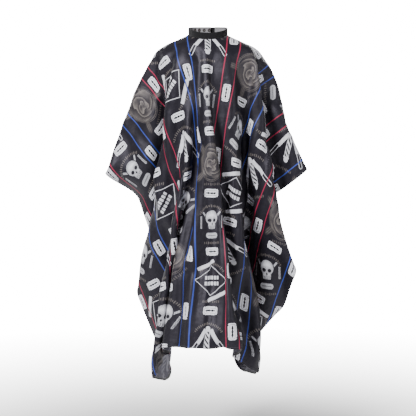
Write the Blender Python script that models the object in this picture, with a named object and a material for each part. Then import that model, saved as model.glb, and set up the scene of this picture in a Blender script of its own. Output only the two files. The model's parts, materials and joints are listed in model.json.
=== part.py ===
"""Barber cape, worn and closed: one printed cloth sheet, a neckband and a snap closure at the back.

Metres, +Z up. The wearer faces -Y, so +X is the wearer's left. The origin is the bottom centre of
the draped cape: z = 0 at the lowest point of the hem, x = y = 0 in the middle of its box.
"""
import math

import bmesh
import bpy
from mathutils import Matrix, Vector

# ---- Driving dimensions -------------------------------------------------------------------
TOP_Z = 1.320            # top edge of the neckband at its sides and back
NECK_Y = 0.005           # centre of the neck ring, front to back
ORIGIN = Vector((0, 0.0071, TOP_Z))      # shapes are drawn around this point, at the band's top
BAND_HEIGHT = 0.024      # neckband
BAND_DIP = 0.026         # how far the neckband drops at the front
BAND_RADIUS = 0.0699     # mid line of the neckband, front and sides
BACK_RADIUS = 0.038      # tighter turn towards the flat back
FRONT_TURN = math.radians(115)   # where the two radii meet
FOLD_TURN = math.radians(125)    # where the fold line of a back flap leaves the neckband
FRONT_FLAT = 0.014       # width of the flat facet at the front centre of the neckband
TAPE = 0.0008            # one ply of neckband or tab tape
CHANNEL = 0.0026         # space between the two plies of the neckband
PADDING = 0.0020         # padding strip inside the neckband
CLOTH = 0.0014           # cloth sheet, with its hem and folds evened out
SEAM_DEPTH = 0.006       # how far the cloth reaches up into the neckband
GAP = 0.0003             # clearance between neighbours
FOLD_GAP = 0.004         # from a fold line to the cloth on either side of it
BAND_SPLIT = (0.002, 0.008)      # from a fold line forwards and backwards to the neckband

# Cloth points on the wearer's left, with heights measured down from TOP_Z
FOLD_FOOT = Vector((0.262, 0.215, -0.500))   # lower end of the fold line
FOLD_SIDEWAYS = Vector((0.90, -0.30, 0.30)).normalized()
WING_TIP = Vector((0.380, 0.150, -0.520))
SHOULDER = [Vector((0, -0.098, -0.125)), Vector((0.115, -0.080, -0.085)),
            Vector((0.186, 0.002, -0.058)), Vector((0.168, 0.050, -0.085))]
SHOULDER_C = [0, 0.35, 0.72, 0.88, 1]        # share of the way from front centre to fold line
HEM = [Vector((0, -0.232, -1.195)), Vector((0.052, -0.240, -1.200)), Vector((0.105, -0.247, -1.285)),
       Vector((0.205, -0.205, -1.318)),
       Vector((0.228, -0.04, -1.23)), Vector((0.235, 0.07, -1.02)), Vector((0.292, 0.13, -0.83)),
       Vector((0.285, 0.12, -0.61))]
HEM_C = [0, 0.07, 0.14, 0.28, 0.42, 0.56, 0.69, 0.81, 0.91, 1]
NECK_T = 0.04            # shares of the way from neck to hem: the band's lower edge,
SHOULDER_T = 0.22        # the shoulders
WAIST_T = 0.60           # and the waist
NECK_DROP = 0.003        # the cloth hangs straight this far below the neckband
FOLD_DEPTH = 0.012       # soft vertical folds of the front
FOLD_WAVES = 9
SLIT_PAST_CENTRE = 0.080                     # the left flap's corner lies past the centre
RIGHT_PAST_CENTRE = 0.040                    # and so does the right flap's, under it
SLIT_FOOT_Z = -0.275
BACK_SLOPE = 0.471       # how far the back of the cape stands out for each metre it hangs down
BACK_ROUND = 1.07        # and how fast it curves forward to the sides
FOLD_AXIS_OUT = (0.0095, 0.0035)  # the fold axes lie this far outside the cloth, at neck and hem
FLAP_LAYER = 0.012       # the left flap lies this far outside the right one

TAB_ROOT_X = 0.0245      # the tab's root, on the left end of the neckband
TAB_TIP_X = -0.030
TAB_RAMP = 0.010         # length over which the tab steps outwards, over the snaps
TAB_LIFT = 0.0064        # inner face of the tab above the neckband's mid line
TAB_CHANNEL = 0.0014
TAB_STIFFENER = 0.0008
TAB_HINGE = (0.0255, 0.0035)                 # x, and distance outside the band's mid line
RIGHT_END_X = 0.010      # the right end of the neckband, under the tab
LEFT_END_X = 0.0250

SNAP_PITCH = 0.0185      # snap to snap along the band
SNAP_FIRST_X = 0.004     # the stud nearest the right end of the band
STUD_COUNT = 4
SOCKET_COUNT = 2
SNAP_RADIUS = 0.0054     # socket and stud discs
CAP_RADIUS = 0.0060
POST_RADIUS = 0.0012
POST_HOLE = 0.0016
NUB_RADIUS = 0.0022
SOCKET_MOUTH = 0.0026
CURVE_CLEARANCE = 0.0011  # keeps the flat post discs clear of the band's inner curve
SNAP_SIDES = 20

CLOTH_COLOUR = (0.030, 0.029, 0.034, 1)
BAND_COLOUR = (0.012, 0.012, 0.013, 1)
PADDING_COLOUR = (0.10, 0.10, 0.10, 1)
SNAP_COLOUR = (0.020, 0.014, 0.015, 1)

FRONT_LENGTH = BAND_RADIUS * FRONT_TURN
BACK_LENGTH = BACK_RADIUS * (math.pi - FRONT_TURN)
FLAT_HALF = (BAND_RADIUS - BACK_RADIUS) * math.sin(FRONT_TURN)
FLAT_Y = BACK_RADIUS - (BAND_RADIUS - BACK_RADIUS) * math.cos(FRONT_TURN)
FOLD_S = FRONT_LENGTH + BACK_RADIUS * (FOLD_TURN - FRONT_TURN)
CENTRE_S = FRONT_LENGTH + BACK_LENGTH + FLAT_HALF


# ---- The neck ring ------------------------------------------------------------------------
def ring(s, out=0.0):
    """Point and outward normal at arc length s from the front centre; s > 0 is the left side."""
    side = math.copysign(1.0, s)
    s = abs(s)
    if s <= FRONT_LENGTH:
        turn, centre, radius, run = s / BAND_RADIUS, (0.0, 0.0), BAND_RADIUS, 0.0
    else:
        back = s - FRONT_LENGTH
        turn = min(FRONT_TURN + back / BACK_RADIUS, math.pi)
        step = BAND_RADIUS - BACK_RADIUS
        centre = (step * math.sin(FRONT_TURN), -step * math.cos(FRONT_TURN))
        radius, run = BACK_RADIUS, max(back - BACK_LENGTH, 0.0)
    nx, ny = math.sin(turn), -math.cos(turn)
    x = centre[0] + (radius + out) * nx - run
    y = centre[1] + (radius + out) * ny
    return Vector((side * x, y + NECK_Y)), Vector((side * nx, ny))


def s_at_back(x):
    """Arc length of the point at x on the flat back, reached from the left side."""
    return CENTRE_S - x


def band_top(y):
    """Height of the neckband's top edge below TOP_Z: it dips towards the front."""
    front = max(0.0, min(1.0, 0.5 - (y - NECK_Y) / (2 * BAND_RADIUS)))
    return -BAND_DIP * front * front


# ---- Mesh helpers -------------------------------------------------------------------------
def material(name, colour, roughness, metallic=0.0):
    mat = bpy.data.materials.new(name)
    mat.use_nodes = True
    shader = mat.node_tree.nodes["Principled BSDF"]
    shader.inputs["Base Color"].default_value = colour
    shader.inputs["Roughness"].default_value = roughness
    shader.inputs["Metallic"].default_value = metallic
    return mat


def add_object(name, bm, mat, smooth_angle=40):
    bmesh.ops.recalc_face_normals(bm, faces=bm.faces[:])
    if bm.calc_volume(signed=True) < 0:
        bmesh.ops.reverse_faces(bm, faces=bm.faces[:])
    mesh = bpy.data.meshes.new(name)
    bm.to_mesh(mesh)
    bm.free()
    mesh.shade_smooth()
    mesh.set_sharp_from_angle(angle=math.radians(smooth_angle))
    mesh.materials.append(mat)
    obj = bpy.data.objects.new(name, mesh)
    bpy.context.scene.collection.objects.link(obj)
    return obj


def loft(stations, ends=True):
    """A body from equal closed outlines, one at each station."""
    bm = bmesh.new()
    rows = [[bm.verts.new(p) for p in outline] for outline in stations]
    count = len(rows[0])
    for low, high in zip(rows, rows[1:]):
        for i in range(count):
            j = (i + 1) % count
            bm.faces.new((low[i], low[j], high[j], high[i]))
    if ends:
        bm.faces.new(rows[0])
        bm.faces.new(reversed(rows[-1]))
    return bm


def sheet(rows):
    """An open grid of quads, to be thickened by a Solidify modifier."""
    bm = bmesh.new()
    grid = [[bm.verts.new(p) for p in row] for row in rows]
    for low, high in zip(grid, grid[1:]):
        for i in range(len(low) - 1):
            bm.faces.new((low[i], low[i + 1], high[i + 1], high[i]))
    return bm


def lathe(profile, place):
    """A ring or disc turned about Z from (radius, height) points, then moved by a matrix."""
    bm = bmesh.new()
    turns = [2 * math.pi * i / SNAP_SIDES for i in range(SNAP_SIDES)]
    rings = []
    for r, z in profile:
        if r > 0:
            rings.append([bm.verts.new((r * math.cos(a), r * math.sin(a), z)) for a in turns])
        else:
            rings.append([bm.verts.new((0, 0, z))] * SNAP_SIDES)
    if profile[0][0] > 0:
        rings.append(rings[0])
    for low, high in zip(rings, rings[1:]):
        for i in range(SNAP_SIDES):
            j = (i + 1) % SNAP_SIDES
            corners = dict.fromkeys((low[i], low[j], high[j], high[i]))
            bm.faces.new(tuple(corners))
    bm.transform(place)
    return bm


def smooth_curve(points, at, t):
    """Catmull-Rom curve through points placed at the rising values in at."""
    last = len(points) - 1
    i = max(k for k in range(last) if at[k] <= t or k == 0)
    u = (t - at[i]) / (at[i + 1] - at[i])
    here, there = points[i], points[i + 1]
    before = points[i - 1] if i > 0 else here * 2 - there
    after = points[i + 2] if i < last - 1 else there * 2 - here
    return 0.5 * (2 * here + (there - before) * u + (2 * before - 5 * here + 4 * there - after) * u ** 2
                  + (3 * here - before - 3 * there + after) * u ** 3)


def steps(start, end, count):
    return [start + (end - start) * i / count for i in range(count + 1)]


def mirrored(point, side):
    return Vector((side * point.x, point.y, point.z))


def at_height(point2, z):
    return ORIGIN + Vector((point2.x, point2.y, z))


# ---- Neckband -----------------------------------------------------------------------------
def strip(stations, profile, shift=None):
    """Loft a (distance outwards, height) profile along arc lengths of the neck ring."""
    outlines = []
    for s in stations:
        outline = []
        for out, z in profile:
            point, _ = ring(s, out + (shift(s) if shift else 0.0))
            outline.append(at_height(point, band_top(ring(s)[0].y) + z))
        outlines.append(outline)
    return loft(outlines)


def channel_profile(channel, low, high, base=0.0):
    """Tape folded over at the top: two plies with a channel between them, open below."""
    inner, outer = base - channel / 2, base + channel / 2
    roof = high - TAPE
    return [(outer, low), (outer + TAPE, low), (outer + TAPE, high), (inner - TAPE, high),
            (inner - TAPE, low), (inner, low), (inner, roof), (outer, roof)]


def box_profile(thickness, low, high, base=0.0):
    half = thickness / 2
    return [(base - half, low), (base + half, low), (base + half, high), (base - half, high)]


def band_stations(start, end, spacing=0.007):
    count = max(2, round(abs(end - start) / spacing))
    return steps(start, end, count)


def front_stations():
    """Along the front half of the band, with one flat facet left at the centre."""
    half = FRONT_FLAT / 2
    right = band_stations(-(FOLD_S - BAND_SPLIT[0]), -half)
    return right + [-s for s in reversed(right)]


def neckband(tape, padding):
    tape_profile = channel_profile(CHANNEL, -BAND_HEIGHT, 0.0)
    pad_profile = box_profile(PADDING, -BAND_HEIGHT + SEAM_DEPTH + 2 * GAP, -TAPE - GAP)
    pieces = {
        "neckband_front": front_stations(),
        "neckband_left_end": band_stations(FOLD_S + BAND_SPLIT[1], s_at_back(LEFT_END_X)),
        "neckband_right_end": band_stations(-(FOLD_S + BAND_SPLIT[1]), -s_at_back(-RIGHT_END_X)),
    }
    made = {}
    for name, stations in pieces.items():
        made[name] = add_object(name, strip(stations, tape_profile), tape)
        made[name + "_padding"] = add_object(name + "_padding", strip(stations, pad_profile), padding)
    return made


# ---- Closure tab --------------------------------------------------------------------------
def tab_shift(s):
    """The tab leaves the left band end close to it, then runs outside the snaps."""
    close = CHANNEL / 2 + TAPE + GAP
    x = CENTRE_S - s
    ramp = max(0.0, min(1.0, (TAB_ROOT_X - x) / TAB_RAMP))
    return close + (TAB_LIFT - close) * ramp * ramp * (3 - 2 * ramp)


def closure_tab(tape, padding):
    thickness = TAB_CHANNEL + 2 * TAPE
    middle = thickness / 2
    stations = steps(s_at_back(TAB_ROOT_X), s_at_back(TAB_TIP_X), 10)
    inset = stations[:-1] + [stations[-1] - 0.002]
    low, high = -BAND_HEIGHT + 0.001, -0.001
    tab = add_object("closure_tab", flat_strip(stations, channel_profile(TAB_CHANNEL, low, high, middle)), tape)
    core = box_profile(TAB_STIFFENER, low + 0.001, high - TAPE - GAP, middle)
    stiffener = add_object("closure_tab_interlining", flat_strip(inset, core), padding)
    return tab, stiffener


def flat_strip(stations, profile):
    """Like strip, on the plane of the flat back, so that it can run past both of its ends."""
    outlines = []
    for s in stations:
        x = CENTRE_S - s
        shift = tab_shift(s)
        outlines.append([ORIGIN + Vector((x, NECK_Y + FLAT_Y + shift + out, z)) for out, z in profile])
    return loft(outlines)


# ---- Snaps --------------------------------------------------------------------------------
def snap_place(x):
    """Matrix that puts a snap's Z axis along the band's outward normal, at its mid height."""
    s = -(CENTRE_S + x)
    point, normal = ring(s)
    place = at_height(point, band_top(point.y) - BAND_HEIGHT / 2)
    out = Vector((normal.x, normal.y, 0.0))
    return Matrix.Translation(place) @ out.to_track_quat("Z", "Y").to_matrix().to_4x4()


def snap_xs(count):
    return [SNAP_FIRST_X - i * SNAP_PITCH for i in range(count)]


def drill(target, x, low, high):
    """Cut a post hole between two distances from the band's mid line."""
    bm = bmesh.new()
    bmesh.ops.create_cone(bm, cap_ends=True, segments=12, radius1=POST_HOLE, radius2=POST_HOLE,
                          depth=high - low)
    bm.transform(snap_place(x) @ Matrix.Translation((0, 0, (low + high) / 2)))
    mesh = bpy.data.meshes.new("post_cutter")
    bm.to_mesh(mesh)
    bm.free()
    cutter = bpy.data.objects.new("post_cutter", mesh)
    cutter.hide_render = True
    cutter.display_type = "WIRE"
    bpy.context.scene.collection.objects.link(cutter)
    cut = target.modifiers.new("post_hole", "BOOLEAN")
    cut.operation = "DIFFERENCE"
    cut.solver = "EXACT"
    cut.object = cutter


def snaps(mat, band_end, band_padding, tab, stiffener):
    band_out = CHANNEL / 2 + TAPE
    stud_low = band_out + 2 * GAP
    stud_high = stud_low + 0.0010
    nub_top = stud_high + 0.0015
    socket_low = stud_high + GAP
    socket_high = TAB_LIFT - GAP
    web = socket_high - 0.0006
    tab_out = TAB_LIFT + TAB_CHANNEL + 2 * TAPE
    for i, x in enumerate(snap_xs(STUD_COUNT), 1):
        place = snap_place(x)
        stud = [(POST_HOLE, stud_low), (SNAP_RADIUS, stud_low), (SNAP_RADIUS, stud_high),
                (NUB_RADIUS, stud_high), (NUB_RADIUS + 0.0001, nub_top - 0.0005),
                (NUB_RADIUS - 0.0003, nub_top), (POST_HOLE, nub_top)]
        add_object(f"snap_stud_{i}", lathe(stud, place), mat)
        under = -band_out - CURVE_CLEARANCE
        post = [(0, nub_top - 0.0004), (POST_RADIUS, nub_top - 0.0004), (POST_RADIUS, under),
                (CAP_RADIUS, under), (CAP_RADIUS, under - 0.0006), (CAP_RADIUS - 0.0012, under - 0.0014),
                (0, under - 0.0014)]
        add_object(f"snap_post_{i}", lathe(post, place), mat)
        drill(band_end, x, -0.006, 0.006)
        drill(band_padding, x, -0.006, 0.006)
    for i, x in enumerate(snap_xs(SOCKET_COUNT), 1):
        place = snap_place(x)
        socket = [(POST_HOLE, socket_high), (SNAP_RADIUS, socket_high), (SNAP_RADIUS, socket_low),
                  (SOCKET_MOUTH, socket_low), (SOCKET_MOUTH, web), (POST_HOLE, web)]
        add_object(f"snap_socket_{i}", lathe(socket, place), mat)
        cap_low = tab_out + GAP
        cap = [(0, web), (POST_RADIUS, web), (POST_RADIUS, cap_low), (CAP_RADIUS, cap_low),
               (CAP_RADIUS, cap_low + 0.0006), (CAP_RADIUS - 0.0010, cap_low + 0.0013),
               (CAP_RADIUS - 0.0026, cap_low + 0.0016), (0, cap_low + 0.0016)]
        add_object(f"snap_cap_{i}", lathe(cap, place), mat)
        drill(tab, x, TAB_LIFT - 0.002, tab_out + 0.002)
        drill(stiffener, x, TAB_LIFT - 0.002, tab_out + 0.002)


# ---- Cloth --------------------------------------------------------------------------------
def neck_edge(s):
    """The cloth's neck edge inside the neckband, and the point where it leaves the band below."""
    point, _ = ring(s)
    top = Vector((point.x, point.y, band_top(point.y) - BAND_HEIGHT + SEAM_DEPTH))
    return top, top - Vector((0, 0, SEAM_DEPTH + NECK_DROP))


def front_point(c, t):
    """Left half of the front and side panel: c from front centre to fold line, t from neck to hem."""
    top, below = neck_edge(c * (FOLD_S - FOLD_GAP))
    if t <= NECK_T:
        return top.lerp(below, t / NECK_T)
    foot = FOLD_FOOT + FOLD_SIDEWAYS * FOLD_GAP
    shoulder_end = neck_edge(FOLD_S - FOLD_GAP)[1].lerp(foot, (SHOULDER_T - NECK_T) / (1 - NECK_T))
    shoulder = smooth_curve(SHOULDER + [shoulder_end], SHOULDER_C, c)
    hem = smooth_curve(HEM + [WING_TIP, foot], HEM_C, c)
    waist = shoulder.lerp(hem, 0.45) + Vector((0, 0, 0.02 * (1 - c)))
    path = smooth_curve([below, shoulder, waist, hem], [NECK_T, SHOULDER_T, WAIST_T, 1], t)
    swell = max(0.0, t - SHOULDER_T) / (1 - SHOULDER_T)
    ease = math.sin(math.pi * min(1.0, (1 - c) * 4) / 2)
    wave = FOLD_DEPTH * swell * ease * math.cos(FOLD_WAVES * math.pi * c)
    return path + Vector((hem.x, hem.y, 0)).normalized() * wave


def cape_panel(mat):
    half_columns = 26
    row_ts = [0, NECK_T, 0.13] + steps(SHOULDER_T, 1, 9)
    rows = []
    for t in row_ts:
        left = [front_point(c, t) for c in steps(0, 1, half_columns)]
        row = [mirrored(p, -1) for p in reversed(left[1:])] + left
        rows.append([ORIGIN + p for p in row])
    return thick_sheet("cape_panel", rows, mat)


def back_point(x, z, layer):
    """Point on the back of the cape, a layer's thickness further out."""
    hang = -z - BAND_HEIGHT - NECK_DROP
    return Vector((x, NECK_Y + FLAT_Y + BACK_SLOPE * hang - BACK_ROUND * x * x + layer, z))


def flap_point(w, t, end_x, past_centre, layer):
    """A back flap, as if on the left: w from its fold line to the slit edge, t from neck to hem."""
    top, below = neck_edge((FOLD_S + FOLD_GAP) * (1 - w) + s_at_back(end_x) * w)
    if t <= NECK_T:
        return top.lerp(below, t / NECK_T)
    foot = FOLD_FOOT - FOLD_SIDEWAYS * FOLD_GAP
    hem = smooth_curve([foot, back_point(0.165, -0.455, layer / 2), back_point(0.045, -0.345, layer),
                        back_point(-past_centre, SLIT_FOOT_Z, layer)], [0, 0.35, 0.72, 1], w)
    down = (t - NECK_T) / (1 - NECK_T)
    lift = layer * (math.sin(math.pi * min(1.0, down * 1.6) / 2) - down) * w
    return below.lerp(hem, down) + Vector((0, lift, 0))


def back_flap(name, side, end_x, past_centre, layer, mat):
    rows = []
    for t in [0, NECK_T, 0.10] + steps(0.18, 1, 7):
        row = [mirrored(flap_point(w, t, end_x, past_centre, layer), side) for w in steps(0, 1, 10)]
        rows.append([ORIGIN + p for p in row])
    return thick_sheet(name, rows, mat)


def thick_sheet(name, rows, mat):
    obj = add_object(name, sheet(rows), mat)
    solid = obj.modifiers.new("cloth_thickness", "SOLIDIFY")
    solid.thickness = CLOTH
    solid.offset = 0.0
    solid.use_even_offset = False
    return obj


# ---- Joints -------------------------------------------------------------------------------
def pivot(name, point, axis, pieces, parent=None):
    """An empty on a joint's axis, its Z along that axis, carrying the pieces that turn with it."""
    empty = bpy.data.objects.new(name, None)
    empty.empty_display_size = 0.05
    bpy.context.scene.collection.objects.link(empty)
    place = Matrix.Translation(point) @ axis.to_track_quat("Z", "Y").to_matrix().to_4x4()
    empty.matrix_world = place
    for piece in pieces:
        piece.parent = empty
        piece.matrix_parent_inverse = place.inverted()
    if parent:
        empty.parent = parent
        empty.matrix_parent_inverse = parent.matrix_world.inverted()
    return empty


def fold_axis(side):
    """Head and foot of a back flap's fold line, just outside the cloth."""
    head2, _ = ring(FOLD_S, FOLD_AXIS_OUT[0])
    head = at_height(head2, -BAND_HEIGHT - NECK_DROP)
    along = FOLD_FOOT - Vector((head2.x, head2.y, -BAND_HEIGHT - NECK_DROP))
    outward = FOLD_SIDEWAYS.cross(along).normalized()
    foot = ORIGIN + FOLD_FOOT + outward * FOLD_AXIS_OUT[1]
    return mirrored(head, side), mirrored(foot, side)


# ---- Assembly -----------------------------------------------------------------------------
def pieces_named(*starts):
    return [obj for obj in bpy.data.objects if obj.name.startswith(starts) and not obj.hide_render]


def main():
    for obj in list(bpy.data.objects):
        bpy.data.objects.remove(obj, do_unlink=True)
    cloth = material("cape_cloth", CLOTH_COLOUR, 0.55)
    tape = material("neckband_tape", BAND_COLOUR, 0.85)
    padding = material("neckband_padding", PADDING_COLOUR, 0.9)
    plastic = material("snap_plastic", SNAP_COLOUR, 0.35)
    cape_panel(cloth)
    back_flap("left_back_flap", 1, LEFT_END_X, SLIT_PAST_CENTRE, FLAP_LAYER, cloth)
    back_flap("right_back_flap", -1, -RIGHT_END_X, RIGHT_PAST_CENTRE, 0.0, cloth)
    band = neckband(tape, padding)
    tab, stiffener = closure_tab(tape, padding)
    snaps(plastic, band["neckband_right_end"], band["neckband_right_end_padding"], tab, stiffener)

    head, foot = fold_axis(1)
    left = pivot("left_fold_axis", head, foot - head, pieces_named("left_back_flap", "neckband_left_end"))
    head, foot = fold_axis(-1)
    pivot("right_fold_axis", head, head - foot,
          pieces_named("right_back_flap", "neckband_right_end", "snap_stud", "snap_post"))
    hinge = ORIGIN + Vector((TAB_HINGE[0], NECK_Y + FLAT_Y + TAB_HINGE[1], -BAND_HEIGHT / 2))
    pivot("tab_axis", hinge, Vector((0, 0, -1)),
          pieces_named("closure_tab", "snap_cap", "snap_socket"), left)


main()
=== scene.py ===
"""Looks of the barber cape: draped printed cloth, neckband, snap closure, studio."""

import json
import math
from functools import partialmethod, reduce

import bmesh
import bpy
import numpy as np
from mathutils import Matrix, Quaternion, Vector


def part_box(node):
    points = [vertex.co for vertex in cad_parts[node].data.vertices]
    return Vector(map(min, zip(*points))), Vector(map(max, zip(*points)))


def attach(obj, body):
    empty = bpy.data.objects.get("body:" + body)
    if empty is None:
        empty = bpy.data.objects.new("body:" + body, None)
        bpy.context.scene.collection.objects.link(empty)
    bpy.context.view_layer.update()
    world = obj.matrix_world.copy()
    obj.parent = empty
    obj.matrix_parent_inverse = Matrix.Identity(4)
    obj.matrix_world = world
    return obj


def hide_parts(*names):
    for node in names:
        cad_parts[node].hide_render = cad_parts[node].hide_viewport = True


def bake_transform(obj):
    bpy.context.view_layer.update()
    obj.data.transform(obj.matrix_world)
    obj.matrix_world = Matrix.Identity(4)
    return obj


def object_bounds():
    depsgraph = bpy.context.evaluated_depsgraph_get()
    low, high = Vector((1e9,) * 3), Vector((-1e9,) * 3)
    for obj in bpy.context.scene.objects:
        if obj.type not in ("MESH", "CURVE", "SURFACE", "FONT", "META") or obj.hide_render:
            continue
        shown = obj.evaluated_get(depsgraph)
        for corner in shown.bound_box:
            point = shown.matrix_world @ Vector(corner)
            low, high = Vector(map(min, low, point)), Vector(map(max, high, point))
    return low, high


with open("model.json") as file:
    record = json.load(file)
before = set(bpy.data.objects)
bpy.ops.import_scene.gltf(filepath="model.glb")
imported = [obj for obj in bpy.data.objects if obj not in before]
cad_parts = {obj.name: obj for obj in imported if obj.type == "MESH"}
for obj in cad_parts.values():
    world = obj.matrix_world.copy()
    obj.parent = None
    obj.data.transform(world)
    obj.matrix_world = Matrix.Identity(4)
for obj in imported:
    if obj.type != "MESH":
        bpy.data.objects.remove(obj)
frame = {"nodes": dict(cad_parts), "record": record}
CAD_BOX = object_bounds()

# ---- The neck ring: a front arc, a tighter arc on each side, and a flat back, as in the CAD ----
BAND_LOW, BAND_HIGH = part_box("neckband_front")
BAND_RADIUS = 0.0699  # mid line of the neckband
BACK_RADIUS = 0.038
FRONT_TURN = math.radians(115)
FOLD_TURN = math.radians(125)
FRONT_FLAT = 0.014
BAND_HALF = BAND_HIGH[0] - BAND_RADIUS
NECK_Y = BAND_LOW[1] + (BAND_RADIUS + BAND_HALF) * math.cos(FRONT_FLAT / 2 / BAND_RADIUS)
TOP_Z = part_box("neckband_right_end")[1][2]
BAND_HEIGHT = 0.024
BAND_DIP = 0.026
LEFT_END_X = 0.025
RIGHT_END_X = 0.010
BAND_BOTTOM = Vector((0, NECK_Y, TOP_Z - BAND_HEIGHT))  # shapes are worked out around this
TAB_LOW, TAB_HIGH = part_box("closure_tab")
JOINTS = {joint["name"]: joint for joint in frame["record"]["behaviour"]["joints"]}

FIRST_ARC = BAND_RADIUS * FRONT_TURN
SECOND_ARC = BACK_RADIUS * (math.pi - FRONT_TURN)
ARC_STEP = BAND_RADIUS - BACK_RADIUS
FLAT_HALF = ARC_STEP * math.sin(FRONT_TURN)
FLAT_Y = BACK_RADIUS - ARC_STEP * math.cos(FRONT_TURN)
FOLD_S = FIRST_ARC + BACK_RADIUS * (FOLD_TURN - FRONT_TURN)
CENTRE_S = FIRST_ARC + SECOND_ARC + FLAT_HALF
LEFT_S = CENTRE_S - LEFT_END_X  # length of the cloth's neck edge on each side
RIGHT_S = CENTRE_S + RIGHT_END_X

# ---- The cut sheet, laid flat: u across, v from front (negative) to back ----
HALF_WIDTH = 0.70
FRONT_LENGTH = 1.25
BACK_LENGTH = 0.36
CORNER_RADIUS = 0.14
HOLE_RADIUS = (LEFT_S + RIGHT_S) / (2 * math.pi)
SHEET_MIDDLE = (BACK_LENGTH - FRONT_LENGTH) / 2
SHEET_HALF = (BACK_LENGTH + FRONT_LENGTH) / 2
GRID = 0.020  # spacing of the simulated cloth
SNAP_TO_EDGE = 0.45  # grid points this share of a cell from the outline move onto it
SEAM_UP = 0.006  # the cloth reaches this far up into the neckband
CLOTH = 0.0009
HEM_WIDTH = 0.008
HEM_RISE = 0.0004
TINY = 1e-9
NEAR = 1e-6  # points closer than this to a line of the sheet lie on it

# ---- How it falls ----
START_CONE = 1.12
LAYER = 0.008  # the left flap starts this far outside the right one
LAYER_FROM, LAYER_OVER = 2.3, 0.6  # radians round the neck where that begins, and its run
FALLING_DIP = 0.018  # dip of the neck while the cloth falls
NECK_REACH = 0.12  # the neck's shape dies out over this distance
SIM_FRAMES = 220
ARM_TOP = Vector((0.165, 0, -0.085))
ARM_END = Vector((0.34, 0.03, -0.52))
ARM_RADII = (0.024, 0.014)
CLOTH_PHYSICS = {
    "quality": 7, "mass": 0.0013, "air_damping": 0.1,
    "tension_stiffness": 15, "compression_stiffness": 15, "shear_stiffness": 1.5, "bending_stiffness": 0.01,
    "tension_damping": 0.5, "compression_damping": 0.5, "shear_damping": 0.5, "bending_damping": 0.05,
    "vertex_group_mass": "neck", "pin_stiffness": 1}
CLOTH_TOUCH = {
    "use_collision": True, "distance_min": 0.003, "collision_quality": 3,
    "use_self_collision": True, "self_distance_min": 0.003, "self_friction": 3}
FORM_TOUCH = {"thickness_outer": 0.004, "thickness_inner": 0.05, "cloth_friction": 8, "damping": 0.1}
BODY_ROWS = [(0.10, 0.05, 0.05), (0.0, 0.057, 0.052), (-0.012, 0.066, 0.056), (-0.032, 0.11, 0.066),
             (-0.05, 0.15, 0.078), (-0.066, 0.172, 0.085), (-0.09, 0.182, 0.092), (-0.14, 0.178, 0.10),
             (-0.25, 0.16, 0.112), (-0.42, 0.12, 0.09), (-0.6, 0.16, 0.105), (-0.63, 0.15, 0.10)]

# ---- How the fallen cloth is evened out ----
# A pair is the drop below the neckband, or the distance across the sheet, over which a change sets in.
NARROWER, NARROWS = 0.12, (0.05, 0.40)
WIDER, WIDENS = 0.07, (0.62, 0.85)
WING_TIPS = {-1: 0.386, 1: 0.366}  # how far the wings reach to the right and to the left
WINGS_SET = (0.05, 0.45)
DEPTH_SPARE = 0.003  # the cloth may stand this far outside the CAD's box
HANGING = 0.25  # the front hangs free below this drop
BACK_SET = (0.05, 0.30)
WING_TURN = math.radians(62)  # the lower part of the right wing is turned back this far
WING_TURNS, WING_ENDS = (0.48, 0.60), (0.80, 0.68)
WING_HINGE, HINGE_ROUND = 0.215, 0.035  # beyond this x, with this rounding
BOTTOM_SPREAD = (0.20, 0.06)  # the lowest part is spread this much, right and left
BOTTOM_SET = (0.90, 1.20)
CENTRE_LIFT = 0.050  # the front hem's middle hangs this share of its length higher
LIFT_SET, LIFT_ACROSS = (0.30, 1.0), (0.44, 0.14)
LENGTH_SET = (0.03, 0.30)
FOLD_PITCH = 0.105
FOLD_DEPTH = 0.0085
FOLDS_SET, FOLDS_ACROSS = (0.12, 0.60), (0.62, 0.40)

# ---- Print, in millimetres ----
COLUMN = 195  # spacing of the motif columns
ROW = 227  # spacing of the motifs down a column
PRINT_START = 88  # the first motif of the front stands this far before the neck's middle
COLUMN_STEP, PAIR_STEP, PAIR_START = 0.37, 0.31, 0.22  # shifts from column to column, in rows
KINDS = 5
LINE_OFFSET = 25
LINE_HALF = 2.1
MOTIF_SIZE = 1.12
SIDE_MOTIFS_LARGER = 0.08
SIDE_MOTIFS_LEAN = 0.75
INK_EDGE = 0.6
WHITE_INK = (0.86, 0.86, 0.93, 1)
GREY_INK = (0.20, 0.178, 0.165, 1)
BLUE_INK = (0.035, 0.065, 0.34, 1)
RED_INK = (0.32, 0.018, 0.055, 1)
CLOTH_BLACK = (0.0062, 0.0054, 0.0090)
CLOTH_INSIDE = (0.125, 0.120, 0.150, 1)
CLOTH_SHINE = (0.90, 0.86, 1.0, 1)
CLOTH_STITCH = (0.08, 0.08, 0.085, 1)
HEM_STITCH = (0.10, 0.10, 0.105, 1)
HEM_WORN = (0.055, 0.052, 0.060, 1)
INSIDE_GREY = 0.78  # share of grey over the print on the cloth's inner side
BAND_BLACK = (0.006, 0.006, 0.007)
# grey lining of the band's inner side, made this light partly as painted light falling into the band
BAND_LINING_LIT = (0.240, 0.235, 0.250)
THREAD = (0.030, 0.030, 0.033, 1)
THREAD_LIT = (0.075, 0.075, 0.080, 1)
SNAP_BLACK = (0.018, 0.014, 0.015, 1)
SNAP_LIT = (0.040, 0.030, 0.031, 1)

BLEND_REACH = 0.015  # two points are set this far in front of and behind a flap's fold axis
BLEND_SIDEWAYS = Vector((-0.792, 0.60, -0.108))
TAB_BLEND = Vector((0.006, 0, 0))
FLAP_FROM = math.radians(90)  # the flap pieces start here, well in front of the fold


def smooth(a, b, x):
    """0 below a, 1 above b, and a smooth rise between; numbers or arrays."""
    t = np.clip((x - a) / (b - a), 0, 1)
    return t * t * (3 - 2 * t)


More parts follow.
